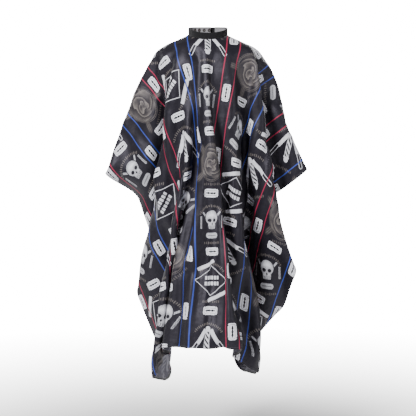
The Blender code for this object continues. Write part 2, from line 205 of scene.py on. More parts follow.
# ---- The neck ring ----
def ring_place(s, out=0.0):
    """(x, y) and outward normal at arc length s from the front centre; s > 0 is the left side."""
    side = math.copysign(1.0, s)
    s = abs(s)
    if s <= FIRST_ARC:
        turn, centre, radius, run = s / BAND_RADIUS, (0.0, 0.0), BAND_RADIUS, 0.0
    else:
        turn = min(FRONT_TURN + (s - FIRST_ARC) / BACK_RADIUS, math.pi)
        centre = (ARC_STEP * math.sin(FRONT_TURN), -ARC_STEP * math.cos(FRONT_TURN))
        radius, run = BACK_RADIUS, max(s - FIRST_ARC - SECOND_ARC, 0.0)
    nx, ny = math.sin(turn), -math.cos(turn)
    x = centre[0] + (radius + out) * nx - run
    y = centre[1] + (radius + out) * ny
    return side * x, y, side * nx, ny


def ring(s, out=0.0):
    x, y, nx, ny = ring_place(s, out)
    return Vector((x, y, 0)), Vector((nx, ny, 0))


def band_dip(y, dip=BAND_DIP):
    """How far the neckband lies below its height at the back; it dips towards the front."""
    front = min(1.0, max(0.0, 0.5 - y / (2 * BAND_RADIUS)))
    return -dip * front * front


def band_point(s, out, up):
    point, _ = ring(s, out)
    middle, _ = ring(s)
    return BAND_BOTTOM + point + Vector((0, 0, band_dip(middle.y) + up))


def mirrored(vector, side):
    return Vector((side * vector.x, vector.y, vector.z))


# ---- Mesh helpers ----
def in_scene(name, data):
    """A new object of the scene."""
    obj = bpy.data.objects.new(name, data)
    bpy.context.scene.collection.objects.link(obj)
    return obj


def add_mesh(name, points, faces, materials, face_materials=None, uvs=None):
    mesh = bpy.data.meshes.new(name)
    mesh.from_pydata([tuple(p) for p in points], [], [tuple(int(i) for i in f) for f in faces])
    for mat in materials:
        mesh.materials.append(mat)
    if face_materials is not None:
        mesh.polygons.foreach_set("material_index", np.array(face_materials, dtype=np.int32))
    if uvs is not None:
        layer = mesh.uv_layers.new(name="UVMap")
        corner = np.empty(len(mesh.loops), dtype=np.int32)
        mesh.loops.foreach_get("vertex_index", corner)
        layer.data.foreach_set("uv", np.asarray(uvs, dtype=np.float32)[corner].ravel())
    mesh.update()
    mesh.shade_smooth()
    return in_scene(name, mesh)


def add_sheet(name, points, faces, groups=4):
    """A mesh with its edges in a fixed order: Blender's own order follows its number of threads."""
    edges = [{} for _ in range(groups)]
    for face in faces:
        for a, b in zip([face[-1], *face], face):
            low, high = sorted((a, b))
            edges[low % groups][low, high] = True
    bm = bmesh.new()
    verts = [bm.verts.new(p) for p in points]
    for group in edges:
        for a, b in group:
            bm.edges.new((verts[a], verts[b]))
    for face in faces:
        bm.faces.new([verts[i] for i in face])
    mesh = bpy.data.meshes.new(name)
    bm.to_mesh(mesh)
    bm.free()
    return in_scene(name, mesh)


def tube(first, rows, size):
    """Faces of a tube of rows of points, and the two faces that close it."""
    sides = []
    last = first + (rows - 1) * size
    for low in range(first, last, size):
        for m in range(size):
            n = (m + 1) % size
            sides.append([low + m, low + size + m, low + size + n, low + n])
    return sides, [list(range(first, first + size)), list(reversed(range(last, last + size)))]


def evaluated(obj):
    """The object's mesh after its modifiers, and its points."""
    mesh = obj.evaluated_get(bpy.context.evaluated_depsgraph_get()).to_mesh()
    points = np.empty(len(mesh.vertices) * 3)
    mesh.vertices.foreach_get("co", points)
    return mesh, points.reshape(-1, 3)


def set_all(target, values):
    for name, value in values.items():
        setattr(target, name, value)


def skin(bm, rings):
    """Faces between neighbouring rings; a ring of one repeated point gives triangles."""
    for low, high in zip(rings, rings[1:]):
        for i in range(len(low)):
            j = (i + 1) % len(low)
            bm.faces.new(tuple(dict.fromkeys((low[i], low[j], high[j], high[i]))))


def fill(mesh, bm):
    """Fills a mesh, with its faces all looking outwards."""
    bmesh.ops.recalc_face_normals(bm, faces=bm.faces[:])
    bm.to_mesh(mesh)
    bm.free()


def turned(name, rows, count=32, foot=Vector(), tilt=Quaternion()):
    """A closed form of elliptical rings (height, half width, half depth), tilted and moved."""
    bm = bmesh.new()
    rings = []
    for z, a, b in rows:
        turns = [2 * math.pi * i / count for i in range(count)]
        points = [Vector((a * math.sin(t), -b * math.cos(t), z)) for t in turns]
        rings.append([bm.verts.new(foot + tilt @ p) for p in points])
    skin(bm, rings)
    bm.faces.new(rings[0])
    bm.faces.new(rings[-1])
    mesh = bpy.data.meshes.new(name)
    fill(mesh, bm)
    return in_scene(name, mesh)


# ---- The flat sheet ----
def outline_distance(u, v):
    """Distance outside the cut sheet (negative inside) and the direction it grows in."""
    qx = abs(u) - HALF_WIDTH + CORNER_RADIUS
    qy = abs(v - SHEET_MIDDLE) - SHEET_HALF + CORNER_RADIUS
    across, along = math.copysign(1, u), math.copysign(1, v - SHEET_MIDDLE)
    if qx > 0 and qy > 0:
        reach = math.hypot(qx, qy)
        distance, grow = reach - CORNER_RADIUS, (across * qx / reach, along * qy / reach)
    elif qx > qy:
        distance, grow = qx - CORNER_RADIUS, (across, 0)
    else:
        distance, grow = qy - CORNER_RADIUS, (0, along)
    rho = math.hypot(u, v)
    if rho < TINY:
        return HOLE_RADIUS, (1, 0)
    if HOLE_RADIUS - rho > distance:
        return HOLE_RADIUS - rho, (-u / rho, -v / rho)
    return distance, grow


def flat_sheet():
    """Grid of the cut sheet with its neck hole and back slit: rows of (u, v, side), and faces."""
    half = round(HALF_WIDTH / GRID)
    long = round(2 * SHEET_HALF / GRID)
    us = [i * HALF_WIDTH / half for i in range(-half, half + 1)]
    vs = [-FRONT_LENGTH + j * 2 * SHEET_HALF / long for j in range(long + 1)]
    flat, index, faces = [], {}, []

    def corner(i, j, side):
        u, v = us[i], vs[j]
        on_slit = abs(u) < TINY and v > 0
        key = (i, j, side if on_slit else 0)
        if key not in index:
            distance, grow = outline_distance(u, v)
            index[key] = None
            if distance <= SNAP_TO_EDGE * GRID:
                if abs(distance) < SNAP_TO_EDGE * GRID:
                    u = 0.0 if abs(u) < TINY else u - distance * grow[0]
                    v -= distance * grow[1]
                index[key] = len(flat)
                flat.append((u, v, side if on_slit else math.copysign(1, u)))
        return index[key]

    for i in range(2 * half):
        side = 1 if i >= half else -1
        for j in range(long):
            cell = [corner(*c, side) for c in ((i, j), (i + 1, j), (i + 1, j + 1), (i, j + 1))]
            cell = [c for c in cell if c is not None]
            if len(cell) >= 3:
                faces.append(cell)
    used = sorted({i for face in faces for i in face})
    new = {old: i for i, old in enumerate(used)}
    return np.array(flat)[used], [[new[i] for i in face] for face in faces]


def angle_of(flat):
    """Angle round the neck hole from the front centre, positive on the left side."""
    u, v, side = flat.T
    angle = np.arctan2(u, -v)
    return np.where((np.abs(u) < NEAR) & (v > 0), np.pi * np.sign(side), angle)


def neck_places(flat, dip):
    """The place on the neck ring belonging to each point's angle on the sheet."""
    angle = angle_of(flat)
    shares = angle / math.pi * np.where(angle > 0, LEFT_S, RIGHT_S)
    places = [ring_place(s)[:2] for s in shares]
    return np.array([(x, y, band_dip(y, dip)) for x, y in places])


def hung_up(flat):
    """Start of the drape: the sheet as a cone round the body, its hole on the neckband."""
    u, v, _ = flat.T
    rho, angle = np.hypot(u, v), angle_of(flat)
    cone = HOLE_RADIUS / START_CONE
    radius = cone + (rho - HOLE_RADIUS) / START_CONE
    z = -(rho - HOLE_RADIUS) * math.sqrt(1 - 1 / START_CONE ** 2)
    z += np.where(angle > 0, 1, -1) * LAYER * smooth(0, LAYER_OVER, np.abs(angle) - LAYER_FROM)
    turn = angle * START_CONE
    position = np.c_[radius * np.sin(turn), -radius * np.cos(turn), z]
    neck = neck_places(flat, FALLING_DIP)
    cone_neck = np.c_[cone * np.sin(turn), -cone * np.cos(turn), np.zeros(len(turn))]
    position += (neck - cone_neck) * np.exp(-(rho - HOLE_RADIUS) / NECK_REACH)[:, None]
    on_neck = np.flatnonzero(np.abs(rho - HOLE_RADIUS) < NEAR)
    position[on_neck] = neck[on_neck]
    return position, on_neck


# ---- Drape simulation ----
def body_and_arms():
    """The shoulders and arms the cloth falls over; taken away again afterwards."""
    forms = [turned("form_body", list(reversed(BODY_ROWS)))]
    for side in (-1, 1):
        top, end = mirrored(ARM_TOP, side), mirrored(ARM_END, side)
        length = (end - top).length
        big, small = ARM_RADII
        bend, pole_radius = np.linspace(0, math.pi / 2, 5), 1e-4
        rows = [(-big * math.cos(t), big * math.sin(t) + pole_radius) for t in bend]
        rows += [(length * f, big + (small - big) * f) for f in np.linspace(0.1, 0.9, 9)]
        rows += [(length + small * math.sin(t), small * math.cos(t) + pole_radius) for t in bend]
        tilt = (end - top).to_track_quat("Z", "Y")
        forms.append(turned("form_arm", [(z, r, r) for z, r in rows], 20, top, tilt))
    for form in forms:
        form.modifiers.new("form", "COLLISION")
        set_all(form.collision, FORM_TOUCH)
    return forms


def drape(flat, faces):
    """Positions of the sheet's points after it has fallen over the shoulders."""
    start, on_neck = hung_up(flat)
    sheet = add_sheet("falling_sheet", start, faces)
    sheet.vertex_groups.new(name="neck").add([int(i) for i in on_neck], 1.0, "REPLACE")
    sheet.shape_key_add(name="Basis")
    rest = sheet.shape_key_add(name="flat")
    rest.data.foreach_set("co", (flat * (1, 1, 0)).astype(np.float32).ravel())
    rest.value = 0
    forms = body_and_arms()
    cloth = sheet.modifiers.new("cloth", "CLOTH")
    set_all(cloth.settings, CLOTH_PHYSICS)
    set_all(cloth.collision_settings, CLOTH_TOUCH)
    cloth.settings.rest_shape_key = rest
    scene = bpy.context.scene
    scene.frame_start = 1
    scene.frame_end = SIM_FRAMES
    cloth.point_cache.frame_end = SIM_FRAMES
    for number in range(1, SIM_FRAMES + 1):
        scene.frame_set(number)
    _, points = evaluated(sheet)
    for obj in [sheet] + forms:
        bpy.data.objects.remove(obj, do_unlink=True)
    scene.frame_set(1)
    return points


def narrowed(x, down):
    """Narrower over the arms, wider again at the waist, and the wing tips at their reach."""
    x = x * (1 - NARROWER * smooth(*NARROWS, down) + WIDER * smooth(*WIDENS, down))
    share = smooth(*WINGS_SET, down)
    for side, tip in WING_TIPS.items():
        mine = x * side > 0
        x[mine] *= 1 + share[mine] * (tip / np.abs(x[mine]).max() - 1)
    return x


def fitted_depth(y, down):
    """Swings the front forwards or back to the CAD's box, and draws the back in to it."""
    low, high = CAD_BOX[0][1] - DEPTH_SPARE - NECK_Y, CAD_BOX[1][1] + DEPTH_SPARE - NECK_Y
    hanging = down > HANGING
    y = y + down * np.max((low - y[hanging]) / down[hanging])
    behind = y > 0
    excess = max(0.0, 1 - high / y.max())
    y[behind] *= 1 - smooth(*BACK_SET, down[behind]) * excess
    return y


def turned_wing(x, y, down):
    """Turns the lower part of the right wing back, about an upright line with a soft bend."""
    turn = WING_TURN * smooth(*WING_TURNS, down) * smooth(*WING_ENDS, down) * (x < 0)
    bend = np.clip(HINGE_ROUND - x - WING_HINGE, 0, 2 * HINGE_ROUND)
    reach = bend ** 2 / (4 * HINGE_ROUND) + np.maximum(-x - WING_HINGE - HINGE_ROUND, 0)
    return x + reach * (1 - np.cos(turn)), y + reach * np.sin(turn)


def settle(flat, points):
    """Evens out the drape: neck at its final dip, narrower wings, its box brought to the CAD's."""
    x, y, z = points.T.copy()
    rho = np.hypot(flat[:, 0], flat[:, 1])
    lower = neck_places(flat, BAND_DIP)[:, 2] - neck_places(flat, FALLING_DIP)[:, 2]
    z += lower * np.exp(-(rho - HOLE_RADIUS) / NECK_REACH)
    down = np.maximum(-z, 0)
    x, y = turned_wing(narrowed(x, down), fitted_depth(y, down), down)
    x *= 1 + smooth(*BOTTOM_SET, down) * np.where(x < 0, *BOTTOM_SPREAD)
    stretch = (BAND_BOTTOM.z - CAD_BOX[0][2] - CLOTH) / down.max()
    lift = CENTRE_LIFT * smooth(*LIFT_ACROSS, np.abs(flat[:, 0])) * (flat[:, 1] < 0)
    z += down * lift * smooth(*LIFT_SET, down)
    z -= down * (stretch - 1) * smooth(*LENGTH_SET, down)
    return np.c_[x, y, z]


def folds(flat, points, normals):
    """Soft upright folds of the hanging front, deeper further down, as a shift along the normals."""
    u, v, _ = flat.T
    down = np.maximum(-points[:, 2], 0)
    share = smooth(*FOLDS_SET, down) * smooth(*FOLDS_ACROSS, np.abs(u)) * (v < 0)
    uneven = 1.3 * np.sin(u * 9 + 0.7) + 0.5 * np.sin(v * 4 + u * 5)
    phase = u * (2 * math.pi / FOLD_PITCH) + uneven
    wave = np.sin(phase) + 0.35 * np.sin(2.3 * phase + 1.1 + 2 * v)
    upright = 1 - 0.4 * np.abs(normals[:, 2])
    return points + normals * (FOLD_DEPTH * share * wave * upright)[:, None]


# ---- Cloth pieces ----
def with_collar(flat, points, faces):
    """Adds the row of cloth that reaches up into the neckband."""
    rho, angle = np.hypot(flat[:, 0], flat[:, 1]), angle_of(flat)
    neck = [int(i) for i in np.flatnonzero(np.abs(rho - HOLE_RADIUS) < NEAR)]
    neck.sort(key=lambda i: angle[i])
    first = len(flat)
    shrink = 1 - SEAM_UP / HOLE_RADIUS
    flat = np.vstack([flat, flat[neck] * (shrink, shrink, 1)])
    points = np.vstack([points, points[neck] + (0, 0, SEAM_UP)])
    collar = [[neck[k], neck[k + 1], first + k + 1, first + k] for k in range(len(neck) - 1)]
    return flat, points, faces + collar


def refined(points, faces):
    """One round of subdivision; the same faces always give the same order of points."""
    obj = add_sheet("refining", points, faces)
    rounds = obj.modifiers.new("smooth", "SUBSURF")
    rounds.levels = rounds.render_levels = 1
    rounds.boundary_smooth = "PRESERVE_CORNERS"
    mesh, fine = evaluated(obj)
    quads = [tuple(face.vertices) for face in mesh.polygons]
    bpy.data.objects.remove(obj, do_unlink=True)
    return fine, quads


def normals_of(points, quads):
    """Point normals of a shape made of quads."""
    corners = points[np.array(quads)]
    across = np.cross(corners[:, 2] - corners[:, 0], corners[:, 3] - corners[:, 1])
    total = np.zeros_like(points)
    for k in range(4):
        np.add.at(total, np.array(quads)[:, k], across)
    return total / np.linalg.norm(total, axis=1)[:, None]


def border(quads):
    """Edges used by one face only, each in that face's direction."""
    edges = {}
    for quad in quads:
        for a, b in zip(quad, quad[1:] + quad[:1]):
            if not edges.pop((b, a), False):
                edges[(a, b)] = True
    return list(edges)


def chains(edges):
    """Joins directed edges into runs of points."""
    following = dict(edges)
    ends = set(following.values())
    starts = [a for a, _ in edges if a not in ends]
    runs = []
    while following:
        here = starts.pop(0) if starts else next(iter(following))
        run = [here]
        while here in following:
            here = following.pop(here)
            run.append(here)
        runs.append(run)
    return runs


def unit(vector):
    return vector / (np.linalg.norm(vector) + TINY)


HEM_UNDER = 3  # from this side of its outline on, the hem shows its underside


def hem_profile():
    """(inwards, outwards) outline of the turned hem, from its outer ply round to its inner one."""
    top, under = CLOTH / 2 + HEM_RISE / 2, -CLOTH / 2 - 2 * HEM_RISE
    return [(HEM_WIDTH, CLOTH / 2), (HEM_WIDTH - 0.0008, top), (0.0006, top), (-0.0005, 0.0),
            (0.0002, under), (HEM_WIDTH - 0.0006, under), (HEM_WIDTH, -CLOTH / 2)]


class Cloth:
    """The draped sheet, refined, from which the cape's cloth pieces are cut."""

    def __init__(self, flat, points, faces):
        flat, points, faces = with_collar(flat, points, faces)
        points, self.quads = refined(points, faces)
        self.flat, _ = refined(flat, faces)
        self.points = folds(self.flat, points, normals_of(points, self.quads))
        self.normals = normals_of(self.points, self.quads)
        self.angle = angle_of(self.flat)
        self.edge_out = self.outwards()

    def outwards(self):
        """Direction out of the cloth at each hem point, in the drape and on the flat sheet."""
        out = {}
        for a, b in border(self.quads):
            along = self.points[b] - self.points[a]
            flat_along = self.flat[b] - self.flat[a]
            for end in (a, b):
                total = out.setdefault(end, [np.zeros(3), np.zeros(2)])
                total[0] += unit(np.cross(along, self.normals[end]))
                total[1] += unit(np.array([flat_along[1], -flat_along[0]]))
        return {i: (unit(a), unit(b)) for i, (a, b) in out.items()}

    def on_neck(self, i):
        return math.hypot(*self.flat[i][:2]) < HOLE_RADIUS + SEAM_UP / 6

    def piece(self, name, wanted, materials):
        """A closed double-sided piece of the cloth: the faces whose mean angle is wanted."""
        middle = np.array([self.angle[list(q)].mean() for q in self.quads])
        mine = [q for q, keep in zip(self.quads, wanted(middle)) if keep]
        used = sorted({i for q in mine for i in q})
        new = {old: k for k, old in enumerate(used)}
        count = len(used)
        middle_surface, lift = self.points[used], self.normals[used] * CLOTH / 2
        points = [*(middle_surface + lift), *(middle_surface - lift)]
        uvs = list(self.flat[used][:, :2]) * 2
        faces = [[new[i] for i in q] for q in mine]
        faces += [[count + new[i] for i in reversed(q)] for q in mine]
        kinds = [0] * len(mine) + [1] * len(mine)
        for a, b in border(mine):
            faces.append([new[b], new[a], count + new[a], count + new[b]])
            kinds.append(0)
        outline = set(border(self.quads))
        hem = [e for e in border(mine) if e in outline and not any(map(self.on_neck, e))]
        for run in chains(hem):
            self.add_hem(run, points, uvs, faces, kinds)
        points = np.array(points) + np.array(BAND_BOTTOM)
        return add_mesh(name, points, faces, materials, kinds, uvs)

    def add_hem(self, run, points, uvs, faces, kinds):
        outline = hem_profile()
        first, size = len(points), len(outline)
        for i in run:
            out, flat_out = self.edge_out[i]
            for inwards, rise in outline:
                points.append(self.points[i] - out * inwards + self.normals[i] * rise)
                uvs.append(self.flat[i][:2] - flat_out * max(inwards, 0))
        sides, ends = tube(first, len(run), size)
        faces.extend(sides)
        kinds.extend([0 if m < HEM_UNDER else 2 for m in range(size)] * (len(run) - 1))
        if run[0] != run[-1]:
            faces.extend(ends)
            kinds.extend([0, 0])


# ---- Shader fields ----
def feed(tree, value, slot):
    """Puts a field, a socket or a plain value into a node's input."""
    if isinstance(value, Field):
        value = value.socket
    if isinstance(value, bpy.types.NodeSocket):
        tree.links.new(value, slot)
    else:
        slot.default_value = value


class Field:
    """A number worked out by shader nodes, used with ordinary arithmetic."""

    def __init__(self, tree, socket):
        self.tree, self.socket = tree, socket

    def op(self, kind, *others, clamp=False):
        node = self.tree.nodes.new("ShaderNodeMath")
        node.operation = kind
        node.use_clamp = clamp
        for slot, value in zip(node.inputs, (self,) + others):
            feed(self.tree, value, slot)
        return Field(self.tree, node.outputs[0])

    __add__ = __radd__ = partialmethod(op, "ADD")
    __sub__ = partialmethod(op, "SUBTRACT")
    __mul__ = __rmul__ = partialmethod(op, "MULTIPLY")
    __truediv__ = partialmethod(op, "DIVIDE")
    __abs__ = partialmethod(op, "ABSOLUTE")
    at_least = partialmethod(op, "MAXIMUM")
    at_most = partialmethod(op, "MINIMUM")
    sine = partialmethod(op, "SINE")
    angle_to = partialmethod(op, "ARCTAN2")

    def __rsub__(self, other):
        return self * -1 + other

    def clamped(self):
        """The field, kept between 0 and 1."""
        return self.op("ADD", 0.0, clamp=True)

    def is_about(self, number):
        """1 where the field lies within a half of the number."""
        return abs(self - number).op("LESS_THAN", 0.5)

    def ink(self, edge=INK_EDGE):
        """1 inside a shape whose distance this is, 0 outside."""
        return (self * (-1 / edge)).op("ADD", 0.5, clamp=True)

    def sawtooth(self, period):
        """From 0 to 1 over each period."""
        return (self * (1 / period)).op("FRACT")

    def ripple(self, period):
        """Sine wave between -1 and 1."""
        return (self * (2 * math.pi / period)).sine()

    def repeated(self, period):
        """Distance along from the middle of each period, so that a shape comes back in each."""
        return self.sawtooth(period) * period - period / 2


def length(x, y):
    return (x * x + y * y).op("SQRT")


def rounded(x, y, half_x, half_y, radius=0.0):
    """Distance to a box with rounded corners, centred."""
    qx, qy = abs(x) - (half_x - radius), abs(y) - (half_y - radius)
    return length(qx.at_least(0), qy.at_least(0)) + qx.at_least(qy).at_most(0) - radius


def rotated(x, y, angle):
    """Coordinates turned by an angle, which is a number or a field."""
    if isinstance(angle, Field):
        c, s = angle.op("COSINE"), angle.sine()
    else:
        c, s = math.cos(angle), math.sin(angle)
    return x * c + y * s, y * c - x * s


def either(*shapes):
    return reduce(Field.at_most, shapes)


def cut(shape, *holes):
    return reduce(lambda left, hole: left.at_least(hole * -1), holes, shape)


# ---- Print motifs: the distance to their ink; the whole print is worked out in millimetres ----
def blade(x, y):
    """Double-edged razor blade standing upright, with notched corners, a slot and a rule."""
    half_x, half_y = 15.8, 30.5
    body = rounded(x, y, half_x, half_y, 8.5)
    notches = rounded(abs(x) - half_x, abs(y) - 22.5, 2.8, 2)
    slot = rounded(x, y, 2.3, 21.5, 2)
    slot_ends = rounded(x, abs(y) - 12.5, 4.2, 3, 2.6)
    slot_middle = rounded(x, y, 4.2, 3.4, 3)
    rule = abs(rounded(x, y, 9.2, 26.2, 5)) - 0.7
    return cut(body, notches, either(slot, slot_ends, slot_middle), rule)


def skull(x, y):
    """Plain small skull before crossed bars, with a comb on each side and a bowl below."""
    ax = abs(x)
    crown = length(ax, (y - 17) * 0.93) - 23.5
    head = either(crown, rounded(x, y + 10.5, 15, 11.5, 6))
    eyes = length(ax - 9.6, (y - 8) * 1.10) - 6.6
    nose = (ax * 1.6 + abs(y + 4)) - 5
    teeth = rounded(ax.repeated(5.6), y + 16.5, 0.6, 5)
    bx, by = rotated(ax, y + 4, 0.85)
    bars = cut(rounded(bx - 30, by, 25, 3.4, 2), head - 2.5)
    comb = cut(rounded(ax - 45, y - 2, 3.6, 22, 2), rounded(ax - 46.2, y.repeated(4.2), 2.2, 0.8))
    bowl = cut(rounded(x, y + 45, 23.5, 9.8, 9.2), rounded(x, y + 45, 16.5, 0.7))
    return either(cut(head, eyes, nose, teeth), bars, comb, bowl)


def hatched(along, across, pitch=6.8):
    """A band of fine strokes of unlike heights."""
    strokes = abs(along.repeated(pitch)) - 1.7
    return strokes.at_least(abs(across) - 3.8 + (along * 0.41).sine() * 1.1)


def hatching(x, y, radius=58, lowest=28, below=71, half=34):
    """Strokes bent over the top of a motif, and a straight row of them under it."""
    arc = hatched(x.angle_to(y) * radius, length(x, y) - radius).at_least(lowest - y)
    return either(arc, hatched(x, y + below).at_least(abs(x) - half))


def razors(x, y, spread=34, angle=0.55):
    """A pair of open straight razors leaning across each other."""
    px, py = rotated(abs(x) - spread, y, angle)
    steel = rounded(px, py - 18, 6.5, 28, 2)
    handle = abs(rounded(px - 2, py + 30, 5, 26, 4)) - 1.1
    return either(steel, handle)


def shield(x, y, row_at=10):
    """Lozenge with two rows of blocks, and a broad razor above and below it."""
    outline = abs((abs(x) * 0.80 + abs(y)) * 0.78 - 40) - 1.1
    blocks = rounded(x.repeated(10.5), abs(y) - row_at, 3.8, 6.2, 0.8).at_least(abs(x) - 31)
    px, py = rotated(x, y, 0.42)
    bars = rounded(px, abs(py) - 59, 38, 6, 2)
    return either(outline, blocks, bars)


def pole(x, y):
    """Striped pole between two knobs."""
    tube = rounded(x, y, 8.5, 33, 1)
    stripes = tube.at_least(abs((x * 1.1 + y).repeated(16.5)) - 4.2)
    knobs = length(x, abs(y) - 41) - 9
    collars = rounded(x, abs(y) - 34, 11.5, 2.2, 1)
    return either(stripes, abs(tube) - 0.9, knobs, collars)


def flower(x, y, grain):
    """Depth of tone of a shaded rose: overlapping petals turning round a bud, leaves round it."""
    reach, turn = length(x, y), x.angle_to(y)
    petal = (turn * 2.5 + reach * 0.15).sine() * 0.30
    swirl = (reach * 0.058 + petal + turn / (2 * math.pi) + grain * 0.5).op("FRACT")
    bloom = ((turn * 5 + 1).sine() * 5 + 56 - reach) * 0.06
    lx, ly = rotated(abs(x) - 50, abs(y) - 44, 0.8)
    leaf = (12.5 - length(lx * 0.5, ly)) * 0.16
    vein = abs(ly.sawtooth(6.5) - 0.5) * 1.4 + 0.15
    petals = (swirl * swirl * 1.1 + 0.12) * bloom.clamped()
    return petals.at_least(leaf.clamped() * vein * 0.8)


def frame_oval(x, y, beads=60):
    """Beaded oval frame of the rose."""
    flattened = y * 0.82
    reach = length(x, flattened)
    bead = abs(x.angle_to(flattened).sawtooth(2 * math.pi / beads) - 0.5) * 3
    return either(abs(reach - 46.5) + bead - 1.8, abs(reach - 50.5) - 0.6)


def engraved(shape, x, y, grain):
    """Tone inside a shape: darker towards its edge, cut by fine curved hatching."""
    depth = (shape * -0.046 + 0.26).clamped()
    hatch = (abs(x) * 0.9 + y * 0.35 + depth * 4).ripple(4.2)
    return (depth * 0.85 + grain * 0.35 + hatch * 0.16 * (1.15 - depth)).clamped()


# ---- The whole print ----
def cell_of(value, period):
    """Nearest whole number of periods, and the rest around it."""
    number = (value * (1 / period)).op("ROUND")
    return number, value - number * period


def motif_inks(x, y, kind, grain):
    """White and grey ink of the motif of each kind, around its middle."""
    broken = grain * 0.5 + 0.55
    head = skull(x, y)
    drawn = head.ink() * engraved(head, x, y, grain) * kind.is_about(1).at_least(kind.is_about(3))
    lozenge = shield(x, y).ink() * broken * kind.is_about(0)
    crossed = either(razors(x, y), pole(x, y)).ink() * broken * kind.is_about(4)
    framed = kind.is_about(2)
    faint = hatching(x, y).ink() * (0.42 + grain * 0.45) * (1 - framed * 0.35)
    rose = flower(x, y, grain).at_least(frame_oval(x, y).ink() * 0.55) * framed
    return drawn.at_least(lozenge).at_least(crossed), faint.at_least(rose)


def print_masks(u, v, grain):
    """White ink, grey ink, blue line and red line over the flat sheet."""
    u, v = u * 1000, v * 1000
    column, x = cell_of(u, COLUMN)
    row, y = cell_of(v + column * (COLUMN_STEP * ROW) + PRINT_START, ROW)
    kind = (column * 3 + row + 4).op("FLOORED_MODULO", KINDS)
    aside = abs(column).at_most(1)
    size = aside * SIDE_MOTIFS_LARGER + MOTIF_SIZE
    lean = (column * 1.7 + row * 2.3).sine() * aside * SIDE_MOTIFS_LEAN
    white, grey = motif_inks(*rotated(x / size, y / size, lean), kind, grain)
    between = blade(y.op("SIGN") * (ROW / 2 - abs(y)), x).ink()
    pair = (u * (1 / COLUMN)).op("FLOOR")
    across = u - (pair + 0.5) * COLUMN
    _, down = cell_of(v + pair * (PAIR_STEP * ROW) + PAIR_START * ROW, ROW)
    white = white.at_least(between).at_least(blade(across, down).ink())
    line = (abs(abs(across) - LINE_OFFSET) - LINE_HALF).ink()
    is_blue = pair.op("FLOORED_MODULO", 2)
    return white, grey, line * is_blue, line * (1 - is_blue)


# ---- Materials ----
class Look:
    """A material with one main shader, set up from fields and colours."""

    def __init__(self, name, specular, sheen=0.0):
        self.material = bpy.data.materials.new(name)
        self.material.use_nodes = True
        self.tree = self.material.node_tree
        self.shader = self.tree.nodes["Principled BSDF"]
        self.set("Specular IOR Level", specular)
        self.set("Sheen Weight", sheen)

    def set(self, name, value):
        feed(self.tree, value, self.shader.inputs[name])

    def node(self, kind, **inputs):
        node = self.tree.nodes.new("ShaderNode" + kind)
        for name, value in inputs.items():
            feed(self.tree, value, node.inputs[name])
        return node

    def mix(self, share, first, second):
        """Colour between first and second; each a colour or a socket."""
        node = self.node("Mix")
        node.data_type = "RGBA"
        for slot, value in ((0, share), (6, first), (7, second)):
            feed(self.tree, value, node.inputs[slot])
        return node.outputs[2]

    def noise(self, vector, scale, detail=2.0):
        node = self.node("TexNoise", Vector=vector, Scale=scale, Detail=detail)
        return Field(self.tree, node.outputs["Fac"])

    def parts(self, vector):
        """The first two coordinates of a vector."""
        split = self.node("SeparateXYZ", Vector=vector)
        return Field(self.tree, split.outputs[0]), Field(self.tree, split.outputs[1])

    def flat_place(self):
        """The UV map as a vector and as its two coordinates, in metres."""
        node = self.node("UVMap")
        node.uv_map = "UVMap"
        return node.outputs["UV"], *self.parts(node.outputs["UV"])

    def object_place(self):
        return self.node("TexCoord").outputs["Object"]

    def finished(self, colour, roughness, height, distance, strength=1.0):
        """The material, given its colour, roughness and relief."""
        relief = self.node("Bump", Height=height, Distance=distance, Strength=strength)
        self.set("Base Color", colour)
        self.set("Roughness", roughness)
        self.set("Normal", relief.outputs["Normal"])
        return self.material


def shaded(colour, factor):
    return tuple(factor * c for c in colour) + (1,)


def cloth_relief(look, vector, u, v):
    """Height of the weave, with the fine creases of folded thin cloth."""
    thread_pitch = 0.0011
    ridge = abs(look.noise(vector, 22, 3.0) - 0.5) * -2.6
    weave = u.ripple(thread_pitch) * v.ripple(thread_pitch)
    return ridge + look.noise(vector, 90) * 0.22 + weave * 0.03


def hem_stitches(u, v, inside_edge=0.0018, half=0.0004, pitch=0.0042, share=0.68):
    """1 on the stitches along the hem, a steady distance inside the cut edge."""
    edge = rounded(u, v - SHEET_MIDDLE, HALF_WIDTH, SHEET_HALF, CORNER_RADIUS)
    row = abs(edge + (HEM_WIDTH - inside_edge)) - half
    return row.ink(half) * (u + v * 1.0001).sawtooth(pitch).op("LESS_THAN", share)


def cloth_material(name, inside):
    look = Look(name, 0.35, 0.04)
    vector, u, v = look.flat_place()
    white, grey, blue, red = print_masks(u, v, look.noise(vector, 60, 3.0))
    ink = (look.noise(vector, 340) * 1.6).clamped()
    layers = [(grey * ink, GREY_INK), (white * (0.80 + ink * 0.20), WHITE_INK)]
    layers += [(blue, BLUE_INK), (red, RED_INK)]
    if inside:
        layers.append((INSIDE_GREY, CLOTH_INSIDE))
    stitches = hem_stitches(u, v)
    layers.append((stitches * 0.6, CLOTH_STITCH))
    colour = look.mix(look.noise(vector, 6), shaded(CLOTH_BLACK, 0.75), shaded(CLOTH_BLACK, 1.45))
    for share, over in layers:
        colour = look.mix(share, colour, over)
    look.set("Specular Tint", CLOTH_SHINE)
    look.set("Sheen Roughness", 0.45)
    roughness = look.noise(vector, 14) * 0.16 + (0.56 if inside else 0.42) + white * 0.10
    return look.finished(colour, roughness, cloth_relief(look, vector, u, v) - stitches * 0.3, 0.0016, 0.8)


def hem_material():
    look = Look("hem_underside", 0.3, 0.15)
    vector, u, v = look.flat_place()
    base = look.mix(look.noise(vector, 120, 3.0), shaded(CLOTH_BLACK, 1), HEM_WORN)
    colour = look.mix(hem_stitches(u, v), base, HEM_STITCH)
    return look.finished(colour, 0.6, cloth_relief(look, vector, u, v), 0.0008)


